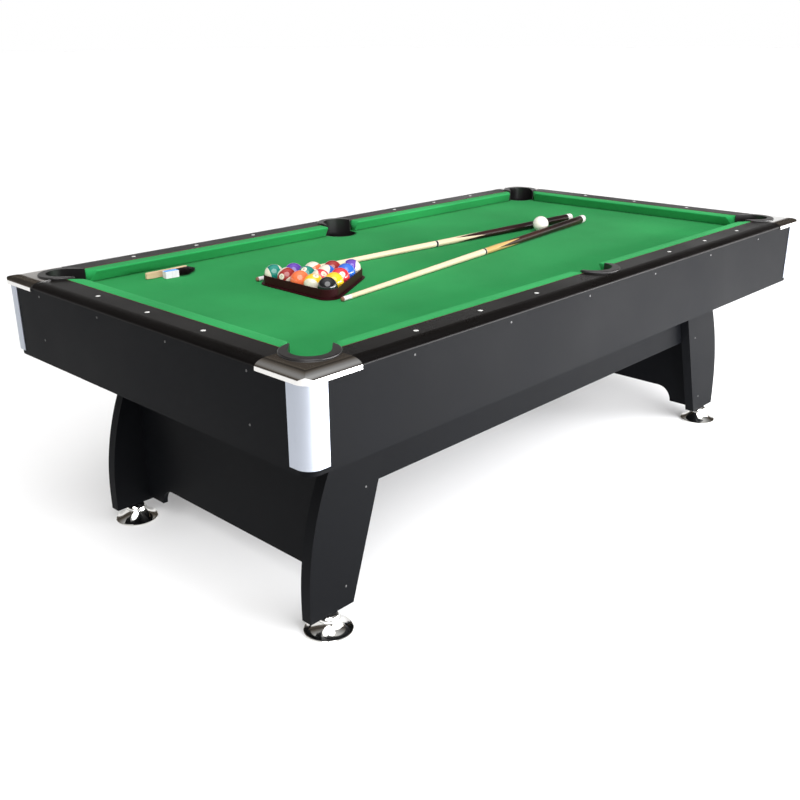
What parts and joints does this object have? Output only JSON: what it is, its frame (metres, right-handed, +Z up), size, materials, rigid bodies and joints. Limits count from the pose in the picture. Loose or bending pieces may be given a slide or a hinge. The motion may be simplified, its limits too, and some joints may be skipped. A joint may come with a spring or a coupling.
{
  "type": "pool table",
  "caption": "Pool table on panel legs with drop pockets, internal ball return, cushions, capped corners and screw feet, set up with racked balls, cues, chalk and brush.",
  "frame": {"origin": "on the floor, under the middle of the table", "axes": "+X along the long side towards the ball-return end, +Y across to the rear long side, +Z up"},
  "size_m": [2.446, 1.328, 0.8174],
  "materials": {
    "cabinet_laminate": "satin",
    "rail_laminate": "semi-gloss",
    "inner_wood": "raw",
    "cloth": "napped",
    "pocket_plastic": "semi-gloss",
    "gutter_plastic": "matt",
    "post_aluminium": "satin",
    "cap_chrome": "polished",
    "foot_chrome": "polished",
    "sight_plastic": "gloss",
    "screw_steel": "zinc plated",
    "coloured_balls": "polished",
    "white_ball": "polished",
    "rack_plastic": "satin",
    "cue_wood": "varnished",
    "chalk_carton": "matt",
    "brush_wood": "varnished"
  },
  "bodies": {
    "table": {"front_apron": "cabinet_laminate", "rear_apron": "cabinet_laminate", "left_end_apron": "cabinet_laminate", "right_end_apron": "cabinet_laminate", "corner_blocks": "inner_wood", "cabinet_floor": "cabinet_laminate", "bed_board": "inner_wood", "bed_cloth": "cloth", "bed_supports": "inner_wood", "rail_front": "rail_laminate", "rail_rear": "rail_laminate", "rail_left": "rail_laminate", "rail_right": "rail_laminate", "cushion_left": "cloth", "cushion_right": "cloth", "pocket_liner_front_middle": "pocket_plastic", "pocket_liner_rear_middle": "pocket_plastic", "corner_post_front_left": "post_aluminium", "corner_cap_front_left": "cap_chrome", "pocket_liner_front_left": "pocket_plastic", "cushion_front_left": "cloth", "leg_front_left": "cabinet_laminate", "corner_post_front_right": "post_aluminium", "corner_cap_front_right": "cap_chrome", "pocket_liner_front_right": "pocket_plastic", "cushion_front_right": "cloth", "leg_front_right": "cabinet_laminate", "corner_post_rear_left": "post_aluminium", "corner_cap_rear_left": "cap_chrome", "pocket_liner_rear_left": "pocket_plastic", "cushion_rear_left": "cloth", "leg_rear_left": "cabinet_laminate", "corner_post_rear_right": "post_aluminium", "corner_cap_rear_right": "cap_chrome", "pocket_liner_rear_right": "pocket_plastic", "cushion_rear_right": "cloth", "leg_rear_right": "cabinet_laminate", "rail_sights": "sight_plastic", "panel_screws": "screw_steel", "ball_gutters": "gutter_plastic", "ball_tray": "gutter_plastic", "ball_window_frame": "pocket_plastic", "cross_panel_left": "cabinet_laminate", "cross_panel_right": "cabinet_laminate", "stretcher_front": "cabinet_laminate", "stretcher_rear": "cabinet_laminate", "leg_frame_battens": "inner_wood", "leveller_inserts": "screw_steel"},
    "leveller_front_left": {"leveller_front_left": "foot_chrome"},
    "leveller_front_right": {"leveller_front_right": "foot_chrome"},
    "leveller_rear_left": {"leveller_rear_left": "foot_chrome"},
    "leveller_rear_right": {"leveller_rear_right": "foot_chrome"},
    "racked_balls": {"racked_balls": "coloured_balls"},
    "cue_ball": {"cue_ball": "white_ball"},
    "triangle_rack": {"triangle_rack": "rack_plastic"},
    "cue_rear": {"cue_rear": "cue_wood"},
    "cue_front": {"cue_front": "cue_wood"},
    "chalk_box": {"chalk_box": "chalk_carton"},
    "table_brush": {"table_brush": "brush_wood"}
  },
  "joints": [
    {"name": "leveller_front_left_screw", "type": "slide", "parent": "table", "child": "leveller_front_left", "axis": [0, 0, -1], "range_m": [0, 0.015]},
    {"name": "leveller_front_right_screw", "type": "slide", "parent": "table", "child": "leveller_front_right", "axis": [0, 0, -1], "range_m": [0, 0.015]},
    {"name": "leveller_rear_left_screw", "type": "slide", "parent": "table", "child": "leveller_rear_left", "axis": [0, 0, -1], "range_m": [0, 0.015]},
    {"name": "leveller_rear_right_screw", "type": "slide", "parent": "table", "child": "leveller_rear_right", "axis": [0, 0, -1], "range_m": [0, 0.015]},
    {"name": "racked_balls_lift", "type": "slide", "parent": "table", "child": "racked_balls", "axis": [0, 0, 1], "range_m": [0, 0.3]},
    {"name": "cue_ball_lift", "type": "slide", "parent": "table", "child": "cue_ball", "axis": [0, 0, 1], "range_m": [0, 0.3]},
    {"name": "triangle_rack_lift", "type": "slide", "parent": "table", "child": "triangle_rack", "axis": [0, 0, 1], "range_m": [0, 0.3]},
    {"name": "cue_rear_lift", "type": "slide", "parent": "table", "child": "cue_rear", "axis": [0, 0, 1], "range_m": [0, 0.3]},
    {"name": "cue_front_lift", "type": "slide", "parent": "table", "child": "cue_front", "axis": [0, 0, 1], "range_m": [0, 0.3]},
    {"name": "chalk_box_lift", "type": "slide", "parent": "table", "child": "chalk_box", "axis": [0, 0, 1], "range_m": [0, 0.3]},
    {"name": "table_brush_lift", "type": "slide", "parent": "table", "child": "table_brush", "axis": [0, 0, 1], "range_m": [0, 0.3]}
  ]
}
